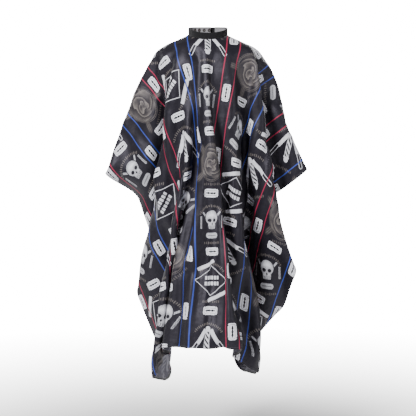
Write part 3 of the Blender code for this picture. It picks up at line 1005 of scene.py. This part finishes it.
def tape_material(name, colour, rib_crest_highlight):
    """Matte knitted tape: fine upright ribs crossed by a weave, with painted shade in the grooves and a
    painted highlight on the rib crests.
    """
    look = Look(name, 0.15, 0.06)
    vector, s, z = look.flat_place()
    ribs = abs(s.sawtooth(0.0013) - 0.5) * -2
    fuzz = look.noise(vector, 420, 3.0)
    # painted shade and highlight: colour darker in the rib grooves and lighter on the rib crests, plus
    # random tone from the noise
    share = (ribs + 1) * 0.5 + look.noise(vector, 35) * 0.4
    colour = look.mix(share, shaded(colour, 1), shaded(colour, rib_crest_highlight))
    return look.finished(colour, fuzz * 0.15 + 0.76, ribs + z.ripple(0.0010) * 0.25 + fuzz * 0.5, 0.0004)


def thread_material():
    look = Look("stitch_thread", 0.4)
    twist = look.noise(look.object_place(), 2600)
    return look.finished(look.mix(twist, THREAD, THREAD_LIT), 0.55, twist, 0.0001)


def plastic_material():
    """Satin moulded plastic, slightly mottled, with fine handling marks."""
    look = Look("snap_moulding", 0.5)
    vector = look.object_place()
    mottle = look.noise(vector, 900, 3.0)
    roughness = look.noise(vector, 160, 4.0) * 0.30 + 0.20
    return look.finished(look.mix(mottle, SNAP_BLACK, SNAP_LIT), roughness, mottle, 0.00005)


# ---- Folded tapes ----
def pillow_profile(half, low, high, dent_at, fold_round=0.0014):
    """Closed outline (outwards, up) of a folded padded tape, pinched along its stitch row."""
    edge_share, pinch, pinch_width, corner = 0.80, 0.34, 0.0011, 0.3
    middle, reach = (low + high) / 2, (high - low) / 2
    outline = []
    for up in np.linspace(low + fold_round, high - fold_round, 15):
        bulge = math.sqrt(max(0.0, 1 - ((up - middle) / reach) ** 2))
        dent = pinch * math.exp(-((up - dent_at) / pinch_width) ** 2)
        outline.append((half * (edge_share + (1 - edge_share) * bulge - dent), up))
    turns = np.linspace(corner, math.pi - corner, 6)
    cap_half, foot_half = outline[-1][0], outline[0][0]
    top = [(cap_half * math.cos(t), high - fold_round * (1 - math.sin(t))) for t in turns]
    foot = [(-foot_half * math.cos(t), low + fold_round * (1 - math.sin(t))) for t in turns]
    return outline + top + [(-x, z) for x, z in reversed(outline)] + foot


def swept(name, stations, profile, place, materials, stitches, lined=0.0):
    """Closed tape swept along stations, with its stitches, and its inner side lined up to a height."""
    run = np.cumsum([0] + [math.dist(a, b) for a, b in zip(profile, profile[1:])])
    points = [place(s, out, up) for s in stations for out, up in profile]
    uvs = [(s, way) for s in stations for way in run]
    sides, ends = tube(0, len(stations), len(profile))
    inner = [max(a[0], b[0]) < 0 and a[1] < lined for a, b in zip(profile, profile[1:] + profile[:1])]
    faces = sides + ends
    kinds = [2 if lining else 0 for lining in inner] * (len(stations) - 1) + [0, 0]
    for more_points, more_faces in stitches:
        first = len(points)
        points.extend(more_points)
        uvs.extend([(0.0, 0.0)] * len(more_points))
        faces.extend([first + i for i in face] for face in more_faces)
        kinds.extend([1] * len(more_faces))
    obj = add_mesh(name, points, faces, materials, kinds, uvs)
    bm = bmesh.new()
    bm.from_mesh(obj.data)
    fill(obj.data, bm)
    return obj


def stitch(start, end, normal, radius=0.00032, sides=6):
    """One stitch: a short bowed thread lying on the tape, both ends sunk into it."""
    along = end - start
    side = along.cross(normal).normalized()
    bow = ((0.0, -0.6), (0.12, 0.35), (0.5, 0.75), (0.88, 0.35), (1.0, -0.6))
    points = []
    for share, rise in bow:
        middle = start + along * share + normal * (rise * radius)
        for k in range(sides):
            t = 2 * math.pi * k / sides
            points.append(middle + (side * math.cos(t) + normal * math.sin(t)) * radius)
    around, ends = tube(0, len(bow), sides)
    return points, around + ends


STITCH_PITCH = 0.0034
STITCH_SHARE = 0.72


def sewn(place, out, start, end):
    """A stitch on a swept tape between two (along, up) places, at a distance outwards."""
    here, there = (place(s, out, up) for s, up in (start, end))
    ahead = place(start[0], out + math.copysign(0.001, out), start[1])
    return stitch(here, there, (ahead - here).normalized())


def stitch_row(place, start, end, up, out):
    """Stitches along a swept tape, from start to end, at a height and a distance outwards."""
    step = math.copysign(STITCH_PITCH, end - start)
    rows = []
    for i in range(int(abs(end - start) / STITCH_PITCH)):
        s = start + step * (i + (1 - STITCH_SHARE) / 2)
        rows.append(sewn(place, out, (s, up), (s + step * STITCH_SHARE, up)))
    return rows


def even(start, end, spacing):
    return list(np.linspace(start, end, max(2, int(abs(end - start) / spacing) + 1)))


# ---- Neckband ----
BAND_STITCH_UP = 0.0030
BAND_CUT_S = FOLD_S - 0.024  # the end pieces of the band start here
LINED_TO = BAND_HEIGHT - 0.0035


def neckband(name, start, end, looks):
    profile = pillow_profile(BAND_HALF, 0.0, BAND_HEIGHT, BAND_STITCH_UP)
    rows = []
    for surface in (0.60 * BAND_HALF, -0.60 * BAND_HALF):
        rows += stitch_row(band_point, start, end, BAND_STITCH_UP, surface)
    return swept(name, even(start, end, 0.0025), profile, band_point, looks, rows, LINED_TO)


# ---- Closure tab ----
TAB_SEWN_X = 0.0385  # the tab is sewn to the left band end from here
TAB_RAMP = (0.0245, 0.0145)  # it steps outwards over the snaps between these
TAB_HALF = 0.0014
TAB_GAP = 0.0002  # it keeps this much clear of the band, and inside the CAD's outer face
TAB_MARGIN = 0.0010  # it is this much lower than the band above and below
TAB_STITCH_UP = 0.0022  # its stitch rows run this far inside its edges
TAB_CORNER = 0.006
TAB_OUT = TAB_HIGH[1] - NECK_Y - FLAT_Y  # its outer face, from the band's mid line


def tab_point(s, out, up):
    """Like band_point, but straight on past the flat back, and stepping out over the snaps."""
    x = CENTRE_S - s
    start = BAND_HALF + TAB_GAP
    step = TAB_OUT - TAB_GAP - 2 * TAB_HALF - start
    inner = start + step * float(smooth(-TAB_RAMP[0], -TAB_RAMP[1], -x))
    if s < FIRST_ARC + SECOND_ARC:
        point = ring(s, inner + out)[0]
    else:
        point = Vector((x, FLAT_Y + inner + out, 0))
    return BAND_BOTTOM + point + Vector((0, 0, up))


def closure_tab(looks):
    low, high = TAB_MARGIN, BAND_HEIGHT - TAB_MARGIN
    middle = (low + high) / 2
    stations = even(CENTRE_S - TAB_SEWN_X, CENTRE_S - TAB_LOW[0], 0.0018)
    profile = pillow_profile(TAB_HALF, low, high, low + TAB_STITCH_UP, 0.0011)
    tip = stations[-1]

    def place(s, out, up):
        back = max(0.0, s - (tip - TAB_CORNER)) / TAB_CORNER
        squeeze = 1 - 0.28 * (1 - math.sqrt(max(0.0, 1 - back * back)))
        return tab_point(s, TAB_HALF + out, middle + (up - middle) * squeeze)

    rows = []
    for up in (low + TAB_STITCH_UP, high - TAB_STITCH_UP):
        rows += stitch_row(place, stations[0] + 0.001, tip - TAB_CORNER, up, TAB_HALF * 0.62)
    for x in (TAB_SEWN_X - 0.0025, TAB_RAMP[0] + 0.002):
        s = CENTRE_S - x
        for up in np.arange(low + 0.003, high - 0.004, STITCH_PITCH):
            rows.append(sewn(place, TAB_HALF * 0.92, (s, up), (s, up + 0.0025)))
    return swept("closure_tab_visual", stations, profile, place, looks, rows)


# ---- Snaps ----
SNAP_SEGMENTS = 48


def snap_place(x):
    """Matrix that puts a snap's Z axis along the band's outward normal, at its mid height."""
    point, normal = ring(-(CENTRE_S + x))
    place = BAND_BOTTOM + Vector((point.x, point.y, band_dip(point.y) + BAND_HEIGHT / 2))
    return Matrix.Translation(place) @ normal.to_track_quat("Z", "Y").to_matrix().to_4x4()


def lathe(name, profile, place, mat):
    """Ring or disc turned about Z from (radius, height) points in mm, put in its place."""
    bm = bmesh.new()
    rings = []
    turns = [2 * math.pi * i / SNAP_SEGMENTS for i in range(SNAP_SEGMENTS)]
    for r, z in profile:
        if r > 0:
            rings.append([bm.verts.new((r * math.cos(t), r * math.sin(t), z)) for t in turns])
        else:
            rings.append([bm.verts.new((0, 0, z))] * SNAP_SEGMENTS)
    if profile[0][0] > 0:
        rings.append(rings[0])
    skin(bm, rings)
    bm.transform(place @ Matrix.Scale(0.001, 4))
    mesh = bpy.data.meshes.new(name)
    fill(mesh, bm)
    mesh.shade_smooth()
    mesh.set_sharp_from_angle(angle=math.radians(50))
    mesh.materials.append(mat)
    return in_scene(name, mesh)


def x_on_band(centre):
    """The x along the straightened back whose snap lies nearest to a point, to 0.1 mm."""
    tries = np.arange(-0.060, 0.020, 0.0001)
    return min(tries, key=lambda x: (snap_place(x).translation - centre).length_squared)


def snap_profile(kind):
    """(radius, height) outline of one snap part in mm; heights are from the band's mid line."""
    band, tab = BAND_HALF * 1000, TAB_OUT * 1000
    if kind == "stud":
        low, high = band - 0.2, band + 1.6
        return [(1.2, low), (5, low), (5.4, low + 0.4), (5.4, high - 0.4), (5, high), (3.6, high),
                (3.1, high - 0.3), (2.4, high), (2.2, high + 0.8), (2.4, high + 1.5), (2.1, high + 1.9),
                (1.2, high + 1.9)]
    if kind == "post":
        top, under = band + 3.4, -band - 0.3
        return [(0, top), (1.1, top), (1.2, under), (5.6, under), (6, under - 0.4), (5.9, under - 1),
                (5, under - 1.5), (3.6, under - 1.6), (3, under - 1.3), (0, under - 1.2)]
    if kind == "socket":
        low, high = band + 1.9, tab - 2.9
        return [(1.4, high), (5.2, high), (5.4, high - 0.3), (5.4, low + 0.4), (5, low), (3.2, low),
                (2.7, low + 0.5), (2.7, high - 0.7), (1.4, high - 0.7)]
    low = tab - 0.2
    return [(0, low - 3), (1.1, low - 3), (1.2, low), (5.7, low), (6, low + 0.3), (6, low + 0.7),
            (5.5, low + 1.2), (4.4, low + 1.6), (4, low + 1.7), (3.6, low + 1.4), (2, low + 1.2),
            (0, low + 1.2)]


def snap(node, mat):
    """The looks of one snap node, at the node's place along the band."""
    low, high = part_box(node)
    place = snap_place(x_on_band((low + high) / 2))
    return lathe(node + "_visual", snap_profile(node.split("_")[1]), place, mat)


# ---- Assembly ----
def fold_ends(joint_name, side):
    """Two points across a flap's fold axis, from the front towards the back."""
    joint = JOINTS[joint_name]
    axis = Vector(joint["axis"]).normalized()
    sideways = mirrored(BLEND_SIDEWAYS, side)
    sideways -= axis * sideways.dot(axis)
    sideways.normalize()
    middle = Vector(joint["pos_m"])
    return middle - sideways * BLEND_REACH, middle + sideways * BLEND_REACH


def mount(piece, slot, nodes, *bodies):
    """Puts a piece on one body, or, given two, leaves it fixed where it is; the CAD nodes it stands in for
    are hidden.
    """
    if len(bodies) == 1:
        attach(piece, *bodies)
    else:
        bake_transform(piece)
    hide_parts(*nodes)


def build():
    left_fold = ("cape", "left_flap", *fold_ends("left_flap_fold", 1))
    right_fold = ("cape", "right_flap", *fold_ends("right_flap_fold", -1))
    hinge = Vector(JOINTS["tab_peel"]["pos_m"])
    tab_bend = ("left_flap", "tab", hinge + TAB_BLEND, hinge - TAB_BLEND)

    flat, faces = flat_sheet()
    cloth = Cloth(flat, settle(flat, drape(flat, faces)), faces)
    looks = [cloth_material("cloth_print", False), cloth_material("cloth_inside", True), hem_material()]
    for name, node, wanted, bodies in (
            ("cape_front_visual", "cape_panel", lambda a: np.abs(a) <= FLAP_FROM, ["cape"]),
            ("left_back_flap_visual", "left_back_flap", lambda a: a > FLAP_FROM, left_fold),
            ("right_back_flap_visual", "right_back_flap", lambda a: a < -FLAP_FROM, right_fold)):
        mount(cloth.piece(name, wanted, looks), "cape_cloth", [node], *bodies)

    # the lining's light grey is partly the lining's own colour and partly painted light on the band's
    # inside
    looks = [tape_material("neckband_knit", BAND_BLACK, 2.0), thread_material(),
             tape_material("neckband_lining_painted_light", BAND_LINING_LIT, 1.3)]
    for name, node, start, end, bodies in (
            ("neckband_front_visual", "neckband_front", -BAND_CUT_S, BAND_CUT_S, ["cape"]),
            ("neckband_left_visual", "neckband_left_end", BAND_CUT_S, LEFT_S, left_fold),
            ("neckband_right_visual", "neckband_right_end", -BAND_CUT_S, -RIGHT_S, right_fold)):
        band = neckband(name, start, end, looks)
        mount(band, "neckband_tape", [node, node + "_padding"], *bodies)
    tab_nodes = ["closure_tab", "closure_tab_interlining"]
    mount(closure_tab(looks[:2]), "neckband_tape", tab_nodes, *tab_bend)

    plastic = plastic_material()
    for node in sorted(n for n in frame["nodes"] if n.startswith("snap_")):
        body = "tab" if "cap" in node or "socket" in node else "right_flap"
        mount(snap(node, plastic), "snap_plastic", [node], body)


# ---- Studio ----
FLOOR_Z = -0.30
FLOOR_RADIUS = 14.0
FLOOR_GREYS = (0.84, 0.84, 0.85, 1), (0.90, 0.90, 0.90, 1)
FADE_FROM, FADE_TO, FADE_POWER = 0.7, 3.2, 1.6  # the floor runs out into white between these radii
WHITE_SEEN, WHITE_LIT = 20.0, 0.24  # brightness of that white to the eye, and as light
LAMPS_AIM = Vector((0, 0, 0.7))
LAMPS = {  # place, size, watts
    "key": ((-2.2, -3.4, 3.0), 1.1, 350),
    "fill": ((3.4, -2.2, 1.4), 2.0, 60),
    "back_left": ((2.4, 3.2, 2.8), 1.6, 120),
    "back_right": ((-2.8, 2.6, 1.6), 2.0, 60),
}
CAMERA_FROM, CAMERA_AT = Vector((0, -5.0, 1.10)), Vector((0, 0, 0.655))
LENS = 118


def white_surround(tree, slot):
    """Plain white, brighter to the camera than as a source of light."""
    path = tree.nodes.new("ShaderNodeLightPath")
    seen = Field(tree, path.outputs["Is Camera Ray"])
    feed(tree, seen * (WHITE_SEEN - WHITE_LIT) + WHITE_LIT, slot)


def floor_material():
    look = Look("studio_paper", 0.2)
    place = look.object_place()
    look.set("Base Color", look.mix(look.noise(place, 1.2), *FLOOR_GREYS))
    look.set("Roughness", 0.9)
    share = ((length(*look.parts(place)) - FADE_FROM) / (FADE_TO - FADE_FROM)).clamped()
    shine = look.node("Emission")
    white_surround(look.tree, shine.inputs["Strength"])
    both = look.node("MixShader")
    for slot, value in enumerate((share.op("POWER", FADE_POWER), look.shader.outputs[0], shine.outputs[0])):
        feed(look.tree, value, both.inputs[slot])
    feed(look.tree, both.outputs[0], look.tree.nodes["Material Output"].inputs["Surface"])
    return look.material


def aimed(name, data, place, target):
    """An object of the scene at a place, its -Z axis towards a target."""
    obj = in_scene(name, data)
    obj.location = place
    obj.rotation_euler = (target - Vector(place)).to_track_quat("-Z", "Y").to_euler()
    return obj


def studio():
    turns = np.linspace(0, 2 * math.pi, 97)[:-1]
    points = [(FLOOR_RADIUS * math.cos(t), FLOOR_RADIUS * math.sin(t), FLOOR_Z) for t in turns]
    add_mesh("studio_floor", points, [range(len(points))], [floor_material()])
    for name, (place, size, power) in LAMPS.items():
        data = bpy.data.lights.new(name, "AREA")
        data.shape = "DISK"
        data.size = size
        data.energy = power
        aimed(name, data, place, LAMPS_AIM)
    world = bpy.data.worlds.new("studio")
    world.use_nodes = True
    background = world.node_tree.nodes["Background"]
    background.inputs["Color"].default_value = (1, 1, 1, 1)
    white_surround(world.node_tree, background.inputs["Strength"])
    bpy.context.scene.world = world
    data = bpy.data.cameras.new("camera")
    data.lens = LENS
    bpy.context.scene.camera = aimed("camera", data, CAMERA_FROM, CAMERA_AT)


build()
studio()
